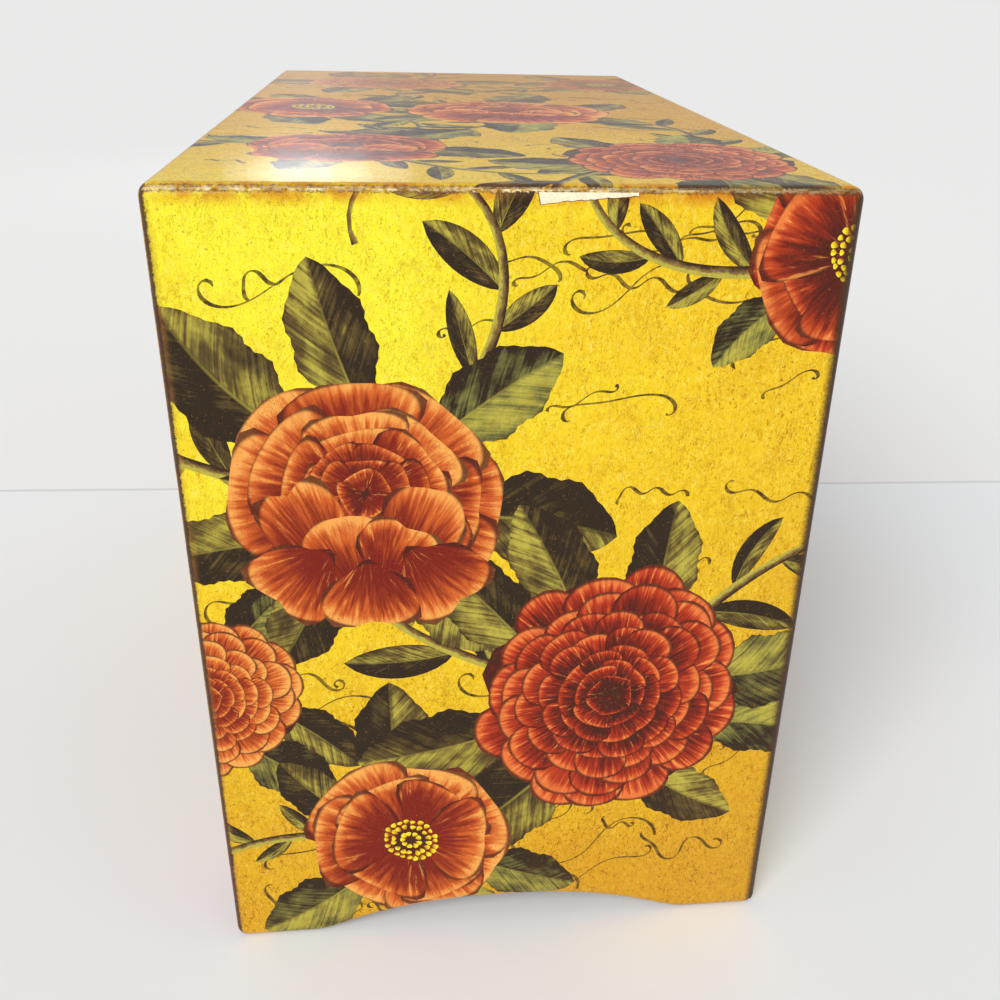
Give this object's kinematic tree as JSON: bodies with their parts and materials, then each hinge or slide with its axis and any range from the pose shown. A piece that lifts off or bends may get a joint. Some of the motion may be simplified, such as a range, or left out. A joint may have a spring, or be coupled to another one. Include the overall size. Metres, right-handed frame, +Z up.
{
  "type": "jewelry chest",
  "caption": "Small papered wooden jewelry chest on arched feet, with drawers that slide out at the front on brass knobs.",
  "frame": {"origin": "under the middle of the chest, knobs included, at the level it stands on", "axes": "+Z up; X runs along the chest; the drawer fronts and knobs face -Y; +Y is the back"},
  "size_m": [0.294, 0.166, 0.209],
  "materials": {
    "varnished_paper": "boards covered with printed paper under gloss varnish",
    "bare_wood": "sanded, lightly stained",
    "brass": "turned, satin",
    "steel": "plain",
    "felt": "short red felt"
  },
  "bodies": {
    "case": {"left_end_panel": "varnished_paper", "right_end_panel": "varnished_paper", "top_panel": "varnished_paper", "back_panel": "varnished_paper", "front_apron": "varnished_paper", "bottom_panel": "bare_wood", "lower_shelf": "bare_wood", "upper_shelf": "bare_wood"},
    "top_drawer": {"top_drawer_front": "varnished_paper", "top_drawer_left_side": "bare_wood", "top_drawer_right_side": "bare_wood", "top_drawer_back": "bare_wood", "top_drawer_bottom": "bare_wood", "top_drawer_lining": "felt", "top_drawer_left_knob": "brass", "top_drawer_right_knob": "brass", "top_drawer_left_screw": "steel", "top_drawer_right_screw": "steel", "top_drawer_partition": "bare_wood", "top_drawer_cross_divider": "bare_wood", "ring_roll_1": "felt", "ring_roll_2": "felt", "ring_roll_3": "felt", "ring_roll_4": "felt", "ring_roll_5": "felt", "ring_roll_6": "felt"},
    "middle_drawer": {"middle_drawer_front": "varnished_paper", "middle_drawer_left_side": "bare_wood", "middle_drawer_right_side": "bare_wood", "middle_drawer_back": "bare_wood", "middle_drawer_bottom": "bare_wood", "middle_drawer_lining": "felt", "middle_drawer_left_knob": "brass", "middle_drawer_right_knob": "brass", "middle_drawer_left_screw": "steel", "middle_drawer_right_screw": "steel", "middle_drawer_long_divider": "bare_wood", "middle_drawer_cross_divider_1": "bare_wood", "middle_drawer_cross_divider_2": "bare_wood"},
    "bottom_drawer": {"bottom_drawer_front": "varnished_paper", "bottom_drawer_left_side": "bare_wood", "bottom_drawer_right_side": "bare_wood", "bottom_drawer_back": "bare_wood", "bottom_drawer_bottom": "bare_wood", "bottom_drawer_lining": "felt", "bottom_drawer_left_knob": "brass", "bottom_drawer_right_knob": "brass", "bottom_drawer_left_screw": "steel", "bottom_drawer_right_screw": "steel"}
  },
  "joints": [
    {"name": "top_drawer_slide", "type": "slide", "parent": "case", "child": "top_drawer", "axis": [0, -1, 0], "range_m": [0, 0.11]},
    {"name": "middle_drawer_slide", "type": "slide", "parent": "case", "child": "middle_drawer", "axis": [0, -1, 0], "range_m": [0, 0.11]},
    {"name": "bottom_drawer_slide", "type": "slide", "parent": "case", "child": "bottom_drawer", "axis": [0, -1, 0], "range_m": [0, 0.11]}
  ]
}
